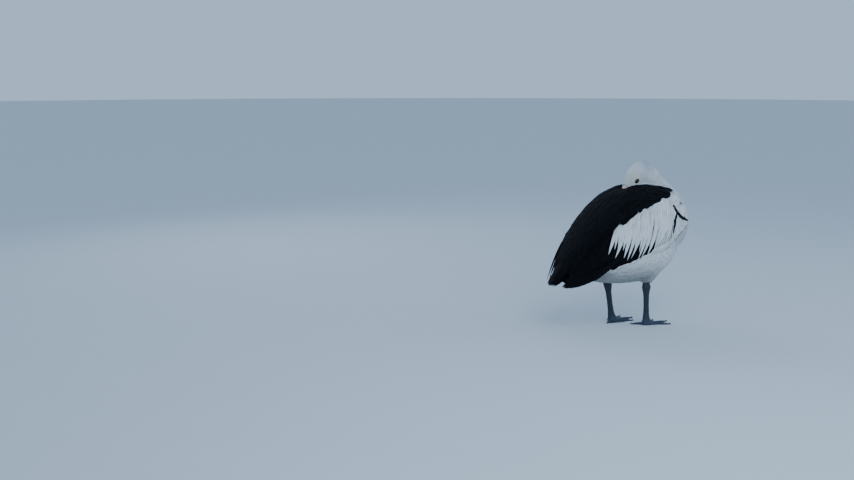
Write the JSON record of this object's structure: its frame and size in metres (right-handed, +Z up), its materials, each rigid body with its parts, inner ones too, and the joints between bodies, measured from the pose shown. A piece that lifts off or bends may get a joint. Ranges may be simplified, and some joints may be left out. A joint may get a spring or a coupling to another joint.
{
  "type": "pelican",
  "caption": "Life-size still pelican standing asleep, head turned back and bill laid under the black scapulars, white body and wing panel, webbed feet flat.",
  "frame": {"origin": "on the floor, at the middle of the bounding box's floor plan", "axes": "+X the way the body and feet face, +Y the bird's left, +Z up; the head is turned back and looks towards -X"},
  "size_m": [0.6796, 0.3312, 0.6882],
  "materials": {
    "plumage_white": "soft white contour feathers",
    "plumage_black": "black flight feathers and scapulars with a slight sheen",
    "bill": "smooth pale pink horn and skin",
    "scaly_skin": "slate-blue scaled skin",
    "eye": "wet dark brown"
  },
  "bodies": {
    "root": {"bill_lower": "bill", "bill_upper": "bill", "eye_left": "eye", "eye_right": "eye", "foot_left": "scaly_skin", "foot_right": "scaly_skin", "head": "plumage_white", "leg_left": "scaly_skin", "leg_right": "scaly_skin", "neck_lower": "plumage_white", "neck_middle": "plumage_white", "neck_upper": "plumage_white", "primaries_left": "plumage_black", "primaries_right": "plumage_black", "scapulars_left": "plumage_black", "scapulars_right": "plumage_black", "tail": "plumage_black", "trunk": "plumage_white", "wing_left": "plumage_white", "wing_right": "plumage_white"}
  },
  "joints": []
}
